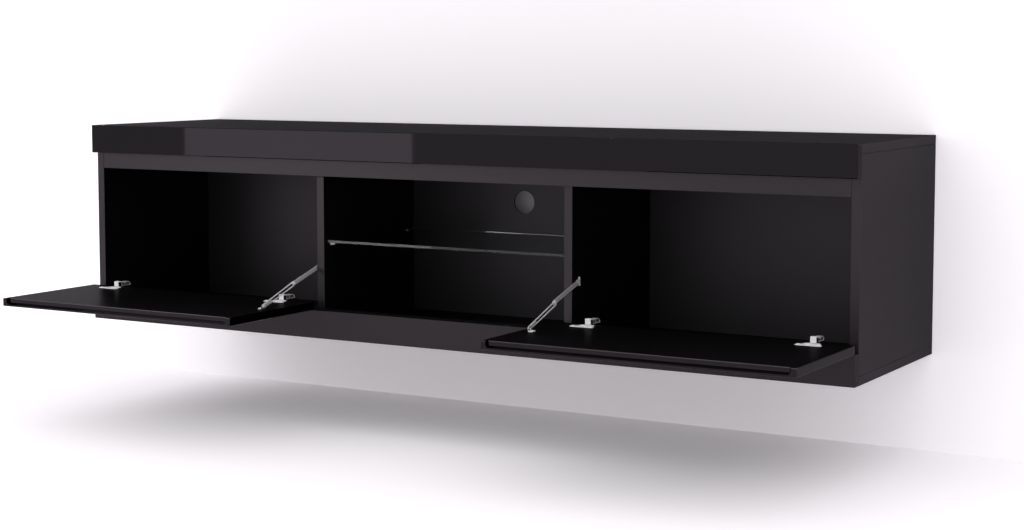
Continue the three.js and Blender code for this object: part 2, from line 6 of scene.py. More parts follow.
import bmesh
import bpy
import numpy as np
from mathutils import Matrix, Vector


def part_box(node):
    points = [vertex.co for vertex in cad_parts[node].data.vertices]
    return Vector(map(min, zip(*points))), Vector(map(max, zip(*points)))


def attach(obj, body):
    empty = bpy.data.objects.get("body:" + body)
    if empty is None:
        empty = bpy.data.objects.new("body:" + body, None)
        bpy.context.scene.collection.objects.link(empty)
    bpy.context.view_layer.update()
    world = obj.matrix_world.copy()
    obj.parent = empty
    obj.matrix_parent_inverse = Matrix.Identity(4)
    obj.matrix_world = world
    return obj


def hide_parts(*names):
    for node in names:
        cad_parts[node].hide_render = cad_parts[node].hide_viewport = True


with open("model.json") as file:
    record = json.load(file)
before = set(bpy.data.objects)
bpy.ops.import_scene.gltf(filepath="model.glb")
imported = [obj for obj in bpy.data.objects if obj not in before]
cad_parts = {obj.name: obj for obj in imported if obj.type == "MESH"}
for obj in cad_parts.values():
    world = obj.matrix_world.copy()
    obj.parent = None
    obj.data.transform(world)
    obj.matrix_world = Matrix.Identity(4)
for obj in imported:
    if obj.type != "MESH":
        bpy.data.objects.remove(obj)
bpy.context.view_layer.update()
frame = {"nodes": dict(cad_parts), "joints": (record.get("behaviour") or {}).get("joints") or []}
mm = 0.001

# Carcass boards
# Chipboard with a satin black laminate that has a fine pearl grain, glued and dowelled at the corners.
# The boards keep the frame's shapes.

laminate_tone = 53
laminate_grazing = 0.5
laminate_roughness = 0.36
shaded_top_tone = 50
shaded_top_grazing = 0.02
shaded_top_roughness = 0.42
grain_height = 0.012 * mm
face_edge_below = 0.3 * mm
face_full_below = 0.1 * mm


class Field:
    """A socket of a material's nodes. Arithmetic on it adds Math nodes, and node() adds any other node."""

    def __init__(self, tree, socket):
        self.tree = tree
        self.socket = socket

    def node(self, kind, settings, inputs, output=0):
        """Adds one node: its settings first, then a value or a link for each named input."""
        made = self.tree.nodes.new("ShaderNode" + kind)
        for name, value in settings.items():
            setattr(made, name, value)
        for name, value in inputs.items():
            if isinstance(value, Field):
                self.tree.links.new(value.socket, made.inputs[name])
            else:
                made.inputs[name].default_value = value
        return Field(self.tree, made.outputs[output])

    def math(self, operation, first, second):
        """One number worked out from two, each a field or a plain number."""
        return self.node("Math", {"operation": operation}, {0: first, 1: second})

    def __add__(self, other):
        return self.math("ADD", self, other)

    __radd__ = __add__

    def __mul__(self, other):
        return self.math("MULTIPLY", self, other)

    __rmul__ = __mul__

    def __sub__(self, other):
        return self.math("SUBTRACT", self, other)

    def __rsub__(self, other):
        return self.math("SUBTRACT", other, self)

    def __or__(self, other):
        """The larger number, so that two masks make one that is 1 where either of them is."""
        return self.math("MAXIMUM", self, other)

    def root(self):
        """The square root."""
        return self.math("POWER", self, 0.5)

    def squares(self, other):
        """This number squared plus the other squared."""
        return self * self + other * other

    def part(self, axis):
        """One of the three numbers of a vector."""
        return self.node("SeparateXYZ", {}, {"Vector": self}, axis)

    def step(self, start, end):
        """0 below start and 1 above end, with a smooth rise between them."""
        return self.node(
            "MapRange",
            {"interpolation_type": "SMOOTHSTEP"},
            {"Value": self, "From Min": start, "From Max": end},
        )

    def noise(self, scale, detail=2.0, stretch=(1.0, 1.0, 1.0)):
        """Cloudy noise from 0 to 1, with so many lumps a metre, drawn out along an axis."""
        stretched = self.node("Mapping", {}, {"Vector": self, "Scale": stretch})
        return self.node("TexNoise", {}, {"Vector": stretched, "Scale": scale, "Detail": detail})

    def blend(self, first, second):
        """A colour that goes from first to second as this number goes from 0 to 1."""
        inputs = {0: self, 6: first, 7: second}
        return self.node("Mix", {"data_type": "RGBA"}, inputs, 2)

    def relief(self, height):
        """The surface normal, tilted by a bump pattern whose full height is given in metres."""
        return self.node("Bump", {}, {"Height": self, "Distance": height, "Strength": 1.0})


def place_in(material):
    """The place on the object, in metres, as a field of a material's nodes."""
    return Field(material.node_tree, None).node("TexCoord", {}, {}, "Object")


def new_finish(name, **constants):
    """A material, its main shader with the values that are the same all over, and the place on it."""
    material = bpy.data.materials.new(name)
    material.use_nodes = True
    shader = material.node_tree.nodes["Principled BSDF"]
    for socket, value in constants.items():
        shader.inputs[socket.replace("_", " ")].default_value = value
    return material, shader, place_in(material)


def darken(shader, grazing):
    """Makes a shader mirror the room in its own tone, as dark laminate and lacquer do. The grazing value
    is the tint of what it mirrors where it is seen at a low angle."""
    shader.inputs["Metallic"].default_value = 1.0
    shader.inputs["Specular Tint"].default_value = (grazing, grazing, grazing, 1.0)


def new_dark_finish(name, grazing):
    """A new finish whose main shader is a dark one."""
    material, shader, place = new_finish(name)
    darken(shader, grazing)
    return material, shader, place


def feed(shader, **fields):
    """Links the values that change over the surface to the shader's sockets."""
    for socket, value in fields.items():
        value.tree.links.new(value.socket, shader.inputs[socket.replace("_", " ")])


def shade(red, green, blue):
    """An opaque colour from its eight-bit display values."""
    display = np.array([red, green, blue]) / 255
    linear = np.where(display <= 0.04045, display / 12.92, ((display + 0.055) / 1.055) ** 2.4)
    return (*linear.tolist(), 1.0)


def tinged(tone):
    """A grey of an eight-bit tone with a trace of violet, as the boards and the fittings have."""
    return shade(tone, tone - 3, tone)


def satin(place, tone, roughness):
    """The look of satin laminate: one dark tone with faint clouds, a pearl grain and a little gloss
    variation."""
    clouds = place.noise(3.0, detail=3.0)
    grain = place.noise(1500.0, detail=1.0)
    return {
        "Base_Color": clouds.blend(tinged(tone), tinged(tone + 5)),
        "Roughness": roughness + 0.06 * clouds + 0.04 * grain,
        "Normal": grain.relief(grain_height),
    }


def laminate(name, tone):
    """A finish that is satin laminate all over."""
    material, shader, place = new_dark_finish(name, laminate_grazing)
    feed(shader, **satin(place, tone, laminate_roughness))
    return material


def second_look(material, mask, grazing, look):
    """Gives a dark finish a second dark look where the mask is 1."""
    tree = material.node_tree
    first = tree.nodes["Principled BSDF"]
    second = tree.nodes.new("ShaderNodeBsdfPrincipled")
    darken(second, grazing)
    feed(second, **look)
    shaders = {1: Field(tree, first.outputs[0]), 2: Field(tree, second.outputs[0])}
    both = mask.node("MixShader", {}, {0: mask, **shaders})
    tree.links.new(both.socket, tree.nodes["Material Output"].inputs["Surface"])


def shaded_top(material, level):
    """Gives the face at the top level a darker, barely mirroring second look: painted shade, because it is
    seen at a low angle.
    """
    place = place_in(material)
    upper_face = place.part(2).step(level - face_edge_below, level - face_full_below)
    second_look(material, upper_face, shaded_top_grazing, satin(place, shaded_top_tone, shaded_top_roughness))


def carry(material, *nodes):
    """Gives frame nodes a finish."""
    for node in nodes:
        mesh = frame["nodes"][node].data
        mesh.materials.clear()
        mesh.materials.append(material)


board_satin = laminate("satin_black_laminate", laminate_tone)
top_satin = laminate("satin_black_top", laminate_tone)
# The top panel's top face gets a darker, barely mirroring look: painted shade, as it is seen at a low
# angle.
shaded_top(top_satin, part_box("top_panel")[1][2])
carry(
    board_satin,
    "bottom_panel",
    "left_side",
    "right_side",
    "left_divider",
    "right_divider",
    "top_front_rail",
    "bottom_front_rail",
    "hanging_rail",
)
carry(top_satin, "top_panel")

# Back
# Thin hardboard painted black on both faces, slid into grooves. It has one sawn hole for cables, and the
# hole's cut face with a narrow rim round it is near black, darker than the paint.

cable_hole_height = -90.5 * mm
cable_hole_radius = 22.5 * mm
dark_rim_full_until = 0.1 * mm
dark_rim_fade_until = 0.3 * mm
fibre_height = 0.02 * mm

hardboard, shader, place = new_dark_finish("painted_hardboard", grazing=0.55)
clouds = place.noise(4.0, detail=3.0)
fibres = place.noise(900.0, stretch=(1.0, 1.0, 0.3))
from_hole = place.part(0).squares(place.part(2) - cable_hole_height).root()
# Near black on the hole's cut face and a narrow rim round it, and the paint's own tone elsewhere.
painted = from_hole.step(cable_hole_radius + dark_rim_full_until, cable_hole_radius + dark_rim_fade_until)
feed(
    shader,
    Base_Color=painted.blend(shade(14, 12, 14), clouds.blend(tinged(62), tinged(69))),
    Roughness=0.5 + 0.06 * clouds,
    Normal=fibres.relief(fibre_height),
)
carry(hardboard, "back_panel")

# Fascia and band
# Fibreboard strips glued along the carcass's front: a fascia in high-gloss black lacquer at the top, whose
# upper face has the darker, barely mirroring top look as painted shade, and a satin black band at the
# bottom.

band_tone = 47
ripple_height = 0.01 * mm


def lacquer(clouds):
    """The tone of black lacquer, a little uneven."""
    return clouds.blend(tinged(36), tinged(39))


gloss, shader, place = new_dark_finish("gloss_black_lacquer", grazing=0.5)
clouds = place.noise(2.0)
ripple = place.noise(25.0, detail=1.0)
feed(
    shader,
    Base_Color=lacquer(clouds),
    Roughness=0.02 + 0.02 * clouds,
    Normal=ripple.relief(ripple_height),
)
# The fascia's upper face gets the same darker look: painted shade in place of its grazing highlight.
shaded_top(gloss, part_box("top_fascia")[1][2])
carry(gloss, "top_fascia")
carry(laminate("satin_black_band", band_tone), "bottom_fascia")

# Doors
# Fibreboard with gloss lacquer outside and satin inside. A painted highlight lightens the arris between
# the inside and the free edge, and a pull is milled along the free edge.

door_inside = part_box("left_door")[1][2]
door_free_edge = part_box("left_door")[0][1]
arris_start = 0.66 * mm
arris_end = 1.76 * mm
pull_start = 8 * mm
pull_end = 9 * mm
inside_edge_below = 0.25 * mm
door_tone = 48
door_grazing = 0.25
door_roughness = 0.33

door_finish, shader, place = new_dark_finish("lacquered_door", grazing=0.55)
clouds = place.noise(3.0, detail=3.0)
from_free_edge, up = place.part(1) - door_free_edge, place.part(2)
beside_inside = up.step(door_inside - arris_end, door_inside - arris_start)
# A painted highlight: a lighter, rougher strip on the arris between the inside and the free edge.
painted_arris_highlight = beside_inside * (1.0 - from_free_edge.step(pull_start, pull_end))
feed(
    shader,
    Base_Color=painted_arris_highlight.blend(lacquer(clouds), tinged(76)),
    Roughness=0.03 + 0.02 * clouds + 0.2 * painted_arris_highlight,
)
inside = up.step(door_inside - inside_edge_below, door_inside - face_full_below)
second_look(door_finish, inside, door_grazing, satin(place, door_tone, door_roughness))
carry(door_finish, "left_door", "right_door")

# Glass shelf
# Clear float glass on four pins. Its edges are ground flat and polished, with a narrow arris.

shelf_corner = 2 * mm
shelf_arris = 0.5 * mm
merge_distance = 0.001 * mm
sharp_angle = np.radians(38)
arris_slopes = (0.5, 0.9)
grinding_height = 0.006 * mm


def box_of(node):
    """The lowest and the highest corner of a frame node."""
    low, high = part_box(node)
    return np.array(low), np.array(high)


def circle(around, shift=0.0):
    """Points round a circle of radius 1, which starts by a share of their spacing from the first axis."""
    turn = 2 * np.pi * (np.arange(around) + shift) / around
    return np.stack([np.cos(turn), np.sin(turn)], -1)


def spread(half_width, half_depth, corner, around=96):
    """A rectangle with round corners: a circle whose quarters are pulled apart."""
    ray = circle(around, 0.5)
    return np.sign(ray) * (half_width - corner, half_depth - corner) + corner * ray


def drawn_in(outline, inward):
    """An outline moved in along its own normals, worked out from the points on both sides."""
    ahead = np.roll(outline, -1, 0) - np.roll(outline, 1, 0)
    ahead /= np.linalg.norm(ahead, axis=-1, keepdims=True)
    return outline - inward * np.stack([ahead[:, 1], -ahead[:, 0]], -1)


def at_height(outline, height):
    """An outline in the local plane, lifted to a height."""
    return np.concatenate([outline, np.full((len(outline), 1), height)], -1)


def lay(grid, origin, across, along):
    """Local points put in place: the first number runs across, the second along, and the third square
    to both."""
    across, along = np.array(across, float), np.array(along, float)
    square = np.cross(across, along)
    return np.array(origin) + grid[..., :1] * across + grid[..., 1:2] * along + grid[..., 2:] * square


def skin(name, grids, wrap=False):
    """One piece made of closed surfaces. Each grid is rings of points: every ring is joined to the next,
    and the last to the first where wrap is asked. Equal points are merged, so a ring of equal points is
    a pole, and the faces are turned outwards."""
    points, quads, start = [], [], 0
    for grid in grids:
        rings, around = grid.shape[:2]
        index = start + np.arange(rings * around).reshape(rings, around)
        near = index if wrap else index[:-1]
        far = np.roll(index, -1, 0) if wrap else index[1:]
        faces = np.stack([near, np.roll(near, -1, 1), np.roll(far, -1, 1), far], -1)
        points.append(grid.reshape(-1, 3))
        quads.append(faces.reshape(-1, 4))
        start += rings * around
    mesh = bpy.data.meshes.new(name)
    mesh.from_pydata(np.concatenate(points).tolist(), [], np.concatenate(quads).tolist())
    surface = bmesh.new()
    surface.from_mesh(mesh)
    bmesh.ops.remove_doubles(surface, verts=surface.verts, dist=merge_distance)
    bmesh.ops.recalc_face_normals(surface, faces=surface.faces)
    surface.to_mesh(mesh)
    surface.free()
    mesh.shade_smooth()
    mesh.set_sharp_from_angle(angle=sharp_angle)
    piece = bpy.data.objects.new(name, mesh)
    bpy.context.scene.collection.objects.link(piece)
    return piece


def finish_piece(piece, material, slot, body, *nodes):
    """Gives a new piece its finish, its body and the frame nodes that it stands for."""
    piece.data.materials.append(material)
    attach(piece, body)
    if nodes:
        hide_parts(*nodes)


def faces_of(piece):
    """The middles and the normals of a piece's faces."""
    faces = piece.data.polygons
    middles, normals = np.zeros(3 * len(faces)), np.zeros(3 * len(faces))
    faces.foreach_get("center", middles)
    faces.foreach_get("normal", normals)
    return middles.reshape(-1, 3), normals.reshape(-1, 3)


def second_finish(piece, material, mask):
    """Gives another finish to the faces that the mask picks out."""
    piece.data.materials.append(material)
    slots = np.zeros(len(mask), np.int32)
    piece.data.polygons.foreach_get("material_index", slots)
    slots[mask] = len(piece.data.materials) - 1
    piece.data.polygons.foreach_set("material_index", slots)


glass, shader, place = new_finish("clear_glass", Transmission_Weight=1.0, IOR=1.5)
clouds = place.noise(5.0)
feed(
    shader,
    Base_Color=clouds.blend(shade(205, 214, 211), shade(212, 220, 217)),
    Roughness=0.01 + 0.01 * clouds,
)
ground_arris, shader, place = new_finish("ground_glass_arris", Metallic=1.0)
grinding = place.noise(1400.0, stretch=(0.2, 1.0, 1.0))
feed(
    shader,
    Base_Color=grinding.blend(shade(84, 86, 86), shade(104, 106, 106)),
    Roughness=0.3 + 0.15 * grinding,
    Normal=grinding.relief(grinding_height),
)

low, high = box_of("glass_shelf")
width, depth, thickness = high - low
outline = spread(width / 2, depth / 2, shelf_corner)
steps = [(shelf_arris, 0), (0, shelf_arris), (0, thickness - shelf_arris), (shelf_arris, thickness)]
rings = [at_height(drawn_in(outline, inward), height) for inward, height in steps]
rings = np.stack([at_height(0 * outline, 0), *rings, at_height(0 * outline, thickness)])
centre = (low + high) / 2
shelf = skin("glass_shelf_pane", [lay(rings, (*centre[:2], low[2]), (1, 0, 0), (0, 1, 0))])
finish_piece(shelf, glass, "glass", "carcass", "glass_shelf")
# Only the arris slopes: how far its faces look up or down lies between two values.
slope = np.abs(faces_of(shelf)[1][:, 2])
second_finish(shelf, ground_arris, (slope > arris_slopes[0]) & (slope < arris_slopes[1]))

# Shelf pins
# Turned nickel-plated pegs, pressed into bores in the dividers, with a collar against the board.

pin_radius = 2.5 * mm
pin_sunk = 8.8 * mm
pin_bevel = 0.4 * mm
collar_radius = 3.5 * mm
collar_round = 0.2 * mm
collar_end = pin_sunk + 0.8 * mm
rolling_height = 0.004 * mm
along_depth = (1.0, 0.05, 1.0)


def turned(profile, around=48):
    """A turned shape: the profile's radii go round the local third axis, at the profile's heights."""
    radius, height = np.array(profile, float).T
    flat = radius[:, None, None] * circle(around)
    tall = np.broadcast_to(height[:, None, None], (len(radius), around, 1))
    return np.concatenate([flat, tall], -1)


def first_face(node, heading):
    """The node's first face along the width, for a shape that runs to the right (1) or the left (-1)."""
    low, high = box_of(node)
    return low[0] if heading > 0 else high[0]


def plated(name, tone, roughness, lines, metallic):
    """Plated steel: a bright metal with rolling lines along one axis and a little tarnish. The bloom of
    barrel plating scatters light, so the metal is mixed with a matt white."""
    material, shader, place = new_finish(name, Metallic=metallic)
    tarnish = place.noise(60.0, detail=3.0)
    rolled = place.noise(1800.0, stretch=lines)
    feed(
        shader,
        Base_Color=tarnish.blend(tinged(tone), tinged(tone - 14)),
        Roughness=roughness + 0.08 * tarnish + 0.06 * rolled,
        Normal=rolled.relief(rolling_height),
    )
    return material


nickel = plated("nickel_plate", 254, 0.42, along_depth, metallic=0.45)

for side, inward in (("left", 1), ("right", -1)):
    for row in ("front", "back"):
        node = f"{side}_{row}_shelf_pin"
        low, high = box_of(node)
        reach = high[0] - low[0]
        profile = [
            (0, 0),
            (pin_radius - pin_bevel, 0),
            (pin_radius, pin_bevel),
            (pin_radius, pin_sunk),
            (collar_radius, pin_sunk + collar_round),
            (collar_radius, collar_end - collar_round / 2),
            (collar_radius - collar_round, collar_end),
            (pin_radius, collar_end),
            (pin_radius, reach - 2 * pin_bevel),
            (pin_radius - 0.6 * pin_bevel, reach - 0.6 * pin_bevel),
            (pin_radius - 2 * pin_bevel, reach),
            (0, reach),
        ]
        start = (first_face(node, inward), *((low + high) / 2)[1:])
        pin = skin(f"{node}_turned", [lay(turned(profile), start, (0, inward, 0), (0, 0, 1))])
        finish_piece(pin, nickel, "nickel", "carcass", node)

# Hinge cups
# Pressed nickel-plated bowls let into the doors, with a rim and two wings that lie on the door and a
# cross-recessed screw through each wing.

cup_radius = 13 * mm
cup_rim = 2.2 * mm
cup_depth = 10.5 * mm
cup_wall = 1 * mm
cup_corner = 1.2 * mm
cup_corner_cut = 0.35 * mm
bore_corner_cut = 0.4 * mm
wing_half_width = 22.2 * mm
wing_half_depth = 5.5 * mm
wing_from_cup = 14 * mm
wing_round = 4 * mm
wing_fillet = 3 * mm
wing_screw_place = 16.8 * mm
wing_screw = (3.7 * mm, 1.3 * mm)
wing_screw_sunk = 0.3 * mm
wing_screw_turn = ((0.8, 0.6, 0), (-0.6, 0.8, 0))
flange_room = 2.6 * mm
flange_lift = 0.2 * mm
flange_top = flange_lift + 1.2 * mm
flange_edge = 0.5 * mm
flange_under_edge = 0.3 * mm
rolled_rim = [(0.6 * mm, 0), (-0.1 * mm, 0.25 * mm), (-0.7 * mm, 0.9 * mm), (-cup_wall, 1.8 * mm)]
rim_thinning = 0.62
rim_thin_until = 1.5 * mm
rim_thick_from = 4.5 * mm


def screw_head(radius, rise, around=72):
    """A cross-recessed pan head: the height falls from the middle to the rim as a flat dome, and a cross
    with sloping walls is sunk into the middle."""
    share = np.linspace(0, 1, 18) ** 0.8
    place = radius * share[:, None, None] * circle(around)
    arm = np.abs(place)
    slot_half, slot_reach, wall = 0.14 * radius, 0.62 * radius, 0.1 * radius
    recess = np.clip((slot_half + wall - arm.min(-1)) / wall, 0, 1)
    recess = recess * np.clip((slot_reach - arm.max(-1)) / wall, 0, 1)
    height = rise * (1 - 0.75 * share[:, None] ** 3.5) - 0.55 * rise * recess
    dome = np.concatenate([place, height[..., None]], -1)
    return np.concatenate([dome, turned([(radius, 0), (0, 0)], around)])


def outline_round(distance, reach, around=128, halvings=30):
    """The outline where a distance formula is zero, found along rays from the middle by halving."""
    ray = circle(around)
    near, far = np.zeros(around), np.full(around, reach)
    for _ in range(halvings):
        middle = (near + far) / 2
        inside = distance(middle[:, None] * ray) < 0
        near, far = np.where(inside, middle, near), np.where(inside, far, middle)
    return near[:, None] * ray


def from_circle(place, middle, radius):
    """Distance from a circle: the distance from its middle less its radius."""
    return np.linalg.norm(place - np.array(middle), axis=-1) - radius


def from_box(place, middle, half, corner):
    """Distance from a rectangle with rounded corners: below zero inside."""
    gap = np.abs(place - np.array(middle)) - np.array(half) + corner
    return np.linalg.norm(np.maximum(gap, 0), axis=-1) + np.minimum(gap.max(-1), 0) - corner


def either(first, second, blend):
    """The union of two distances, with the inner corners between them rounded."""
    share = np.clip(0.5 + 0.5 * (second - first) / blend, 0, 1)
    return second + (first - second) * share - blend * share * (1 - share)


def cup_distance(place):
    """Distance from the flange: the cup's round rim together with the bar that both wings make."""
    rim = from_circle(place, (0, 0), cup_radius + cup_rim)
    wings = from_box(place, (0, wing_from_cup), (wing_half_width, wing_half_depth), wing_round)
    return either(rim, wings, wing_fillet)


def eased(value, start, end):
    """0 below start and 1 above end, with a smooth rise between them."""
    share = np.clip((value - start) / (end - start), 0, 1)
    return share * share * (3 - 2 * share)


bright_nickel = plated("bright_nickel_plate", 254, 0.42, along_depth, metallic=0.2)

flange = outline_round(cup_distance, 2 * wing_half_width)
bore, floor = cup_radius - cup_wall, cup_wall - cup_depth
bowl_outside = [
    (0, -cup_depth),
    (cup_radius - cup_corner, -cup_depth),
    (cup_radius - cup_corner_cut, -cup_depth + cup_corner_cut),
    (cup_radius, -cup_depth + cup_corner),
    (cup_radius, flange_lift),
]
flange_steps = [
    (flange_under_edge, flange_lift),
    (0, flange_lift + flange_under_edge),
    (0, flange_top - flange_edge),
    (0.3 * flange_edge, flange_top - 0.3 * flange_edge),
    (flange_edge, flange_top),
]
bowl_inside = [
    *[(cup_radius + outward, flange_top - down) for outward, down in rolled_rim],
    (bore, floor + cup_corner),
    (bore - bore_corner_cut, floor + cup_corner_cut),
    (bore - cup_corner, floor),
    (0, floor),
]
cup_rings = np.stack(
    [at_height(radius * circle(len(flange)), height) for radius, height in bowl_outside]
    + [at_height(drawn_in(flange, inward), height) for inward, height in flange_steps]
    + [at_height(radius * circle(len(flange)), height) for radius, height in bowl_inside]
)
# The rim is pressed thinner than the wings.
raised = np.maximum(cup_rings[..., 2] - flange_lift, 0)
thick = eased(cup_rings[..., 1], rim_thin_until, rim_thick_from)
cup_rings[..., 2] -= rim_thinning * raised * (1 - thick)

hinges = {
    f"{side}_door_{end}_hinge": f"{side}_door_leaf"
    for side in ("left", "right")
    for end in ("left", "right")
}
for hinge, body in hinges.items():
    low, high = box_of(f"{hinge}_cup")
    centre = np.array([(low[0] + high[0]) / 2, high[1] - cup_radius - cup_rim, high[2] - flange_room])
    grids = [lay(cup_rings, centre, (-1, 0, 0), (0, -1, 0))]
    for hand in (-1, 1):
        seat = centre + (hand * wing_screw_place, -wing_from_cup, flange_top - wing_screw_sunk)
        grids.append(lay(screw_head(*wing_screw), seat, *wing_screw_turn))
    cup = skin(f"{hinge}_pressed_cup", grids)
    finish_piece(cup, bright_nickel, "nickel", body, f"{hinge}_cup")

# Hinge hoods
# Pressed nickel-plated covers over the hinge links. A square front stands over a recess in each side,
# near black with painted shade where the links work, and behind it a dished heel with the link's riveted
# pin ends in a quarter round.

hood_edge = 0.7 * mm
sheet_bend = 0.2 * mm
hood_top_drop = 1 * mm
front_sheet = 1.1 * mm
opening_end = 8.2 * mm
opening_top = 7.6 * mm
opening_depth = 4 * mm
opening_shade_depth = 1.5 * mm
heel_radius = 7.6 * mm
heel_drop = 2 * mm
heel_waist = 0.5 * mm
dish_depth = 0.8 * mm
dish_rim = 1.3 * mm
dish_start = 11 * mm
dish_end_gap = 3.5 * mm
dish_ramp = 1 * mm
dish_steel_end_gap = 2 * mm
dish_steel_from_middle = 2 * mm
link_pin_radius = 1.9 * mm
link_pin_rise = 0.9 * mm
link_pin_place = (0.55, 0.48)
along_height = (1.0, 1.0, 0.05)


def rounding(gap, radius):
    """How far a rounded edge has drawn in, at a gap from the edge's end."""
    near = np.clip(1 - gap / radius, 0, 1)
    return radius * (1 - np.sqrt(1 - near**2))


def hood_sections(length):
    """How far behind the front each section stands: close together round the front edge, at both ends
    of the opening and round the heel."""
    front_turn = np.linspace(0, np.pi / 2, 6)
    heel_turn = np.linspace(0, np.pi / 2, 30)[1:]
    heel_start = length - heel_radius
    sections = [
        hood_edge * (1 - np.cos(front_turn)),
        [front_sheet, front_sheet + sheet_bend],
        np.linspace(front_sheet + 2 * sheet_bend, opening_end - sheet_bend, 6),
        [opening_end, opening_end + 2 * sheet_bend],
        np.linspace(opening_end + 5 * sheet_bend, heel_start, 50),
        heel_start + heel_radius * np.sin(heel_turn),
    ]
    return np.concatenate(sections)[:, None]


def hood_rings(width, length, height):
    """A hood's rings, each up one side and down the other. The sides are the half width, less the
    opening, the heel's waist and its dish, plus the pin's round head, and drawn in at the edges."""
    behind = hood_sections(length)
    in_heel = np.clip(behind - (length - heel_radius), 0, heel_radius)
    top = height - heel_radius + np.sqrt(heel_radius**2 - in_heel**2)
    top = top - heel_drop * eased(behind, opening_end + sheet_bend, opening_end + 5 * sheet_bend)
    level = opening_top / height
    up = top * np.concatenate([np.linspace(0, level, 24), np.linspace(level + 0.02, 1, 24) ** 0.8])
    opening = eased(behind, front_sheet, front_sheet + sheet_bend)
    opening = opening * (1 - eased(behind, opening_end, opening_end + 2 * sheet_bend))
    opening = opening * (1 - eased(up, opening_top - sheet_bend / 2, opening_top + sheet_bend))
    waist = eased(behind, opening_end + 2 * sheet_bend, opening_end + 6 * sheet_bend)
    dish_end = length - dish_end_gap
    dish = eased(np.minimum(up, top - up), dish_rim, dish_rim + 2 * sheet_bend)
    dish = dish * eased(behind, dish_start, dish_start + dish_ramp)
    dish = dish * (1 - eased(behind, dish_end, dish_end + dish_ramp))
    from_pin = np.hypot(behind - link_pin_place[0] * length, up - link_pin_place[1] * height)
    pin = np.sqrt(np.clip(1 - (from_pin / link_pin_radius) ** 2, 0, 1))
    half = width / 2 - opening_depth * opening - heel_waist * waist - dish_depth * dish
    half = half + link_pin_rise * pin - rounding(top - up, hood_edge) - rounding(behind, hood_edge)
    run = np.broadcast_to(-behind, up.shape)
    left, right = (np.stack([run, up, hand * half], -1) for hand in (-1, 1))
    rings = np.concatenate([left, right[:, ::-1]], 1)
    ends = rings[[0, -1]] * (1, 1, 0)
    return np.concatenate([ends[:1], rings, ends[1:]])


zinc = plated("zinc_plate", 222, 0.46, along_depth, metallic=0.6)
link_steel = plated("oiled_link_steel", 130, 0.4, along_height, metallic=1.0)
painted_shade_steel = plated("painted_shade_opening_steel", 48, 0.5, along_height, metallic=1.0)

for hinge, body in hinges.items():
    low, high = box_of(f"{hinge}_hood")
    low[2] -= flange_room - flange_top
    high[2] -= hood_top_drop
    width, length, height = high - low
    origin = np.array([(low[0] + high[0]) / 2, low[1], low[2]])
    rings = hood_rings(width, length, height)
    hood = skin(f"{hinge}_pressed_hood", [lay(rings, origin, (0, -1, 0), (0, 0, 1))])
    finish_piece(hood, bright_nickel, "nickel", body, f"{hinge}_hood")

    middles, normals = faces_of(hood)
    aside, behind, above = (middles - origin).T
    aside = np.abs(aside)
    in_opening = (behind > 0.9 * front_sheet) & (behind < opening_end + 2 * sheet_bend)
    in_opening &= (aside < width / 2 - opening_shade_depth) & (above < opening_top + 1.5 * sheet_bend)
    in_dish = (behind > dish_start - dish_ramp) & (behind < length - dish_steel_end_gap)
    in_dish &= (aside < width / 2 - heel_waist - 0.6 * dish_depth) & (aside > dish_steel_from_middle)
    in_dish &= np.abs(normals[:, 0]) > 0.5
    second_finish(hood, zinc, behind > opening_end)
    # The recess in each side is near black: painted shade for the dark opening where the links work.
    second_finish(hood, painted_shade_steel, in_opening)
    second_finish(hood, link_steel, in_dish)

# Hinge plates
# Zinc-plated plates hooked over the bottom rail. Each is held by two pan-head screws in its back.

plate_screw_place = 15.5 * mm
plate_screw_height = 6 * mm
plate_screw = (3.6 * mm, 1.8 * mm)
plate_screw_sunk = 0.02 * mm
facing_back = ((-1, 0, 0), (0, 0, 1))

carry(zinc, *[f"{hinge}_plate" for hinge in hinges])
for hinge in hinges:
    low, high = box_of(f"{hinge}_plate")
    grids = []
    for hand in (-1, 1):
        along = (low[0] + high[0]) / 2 + hand * plate_screw_place
        seat = (along, high[1] - plate_screw_sunk, low[2] + plate_screw_height)
        grids.append(lay(screw_head(*plate_screw), seat, *facing_back))
    screws = skin(f"{hinge}_plate_screws", grids)
    finish_piece(screws, zinc, "zinc", "carcass")

# Stays
# Folding flap stays of nickel-plated steel strip: a bracket screwed to the divider, a plain upper arm,
# a slotted lower arm, a rivet that runs in the slot, and an angle foot screwed to the door.

strip_thickness = 1.5 * mm
upper_half = 4.2 * mm
lower_half = 5 * mm
lower_taper = 0.78
arm_edge = 0.45 * mm
slotted_arm_edge = 0.63 * mm
flute_depth = 0.5 * mm
slot_half = 2.75 * mm
slot_start = 26 * mm
slot_tilt = np.radians(0.79)
stay_shank = 1.1 * mm
stay_head = 2.7 * mm
stay_screw_sunk = 0.2 * mm
rivet_dome = 0.9 * mm
rivet_rim = 0.3 * mm
rivet_far_dome = 0.8 * mm
bracket_middle = 6 * mm
bracket_strip = ((2 * mm, 0.4 * mm), (3.2 * mm, 8.2 * mm), 1.5 * mm)
bracket_eye = ((-4 * mm, 0), (6.5 * mm, 4.5 * mm), 4.4 * mm)
bracket_fillet = 1.5 * mm
bracket_reach = 20 * mm
bracket_pin = 3.6 * mm
bracket_head = (3.7 * mm, 4.4 * mm)
bracket_screw_setback = 8 * mm
bracket_screw_heights = (-5 * mm, 5.8 * mm)
bracket_screw = (2.1 * mm, 0.8 * mm)
foot_half_length = 6.5 * mm
foot_reach = 8.5 * mm
foot_corner = 2.5 * mm
foot_bend = 1.6 * mm
foot_ear_radius = 3.5 * mm
foot_ear_start = 2.9 * mm
foot_ear_end = foot_ear_start + strip_thickness
foot_ear_bottom = 2.2 * mm
foot_pin_dome = 0.8 * mm
foot_pin_far_dome = 0.54 * mm
foot_screw_share = 0.62
foot_screw = (2.6 * mm, 1.2 * mm)
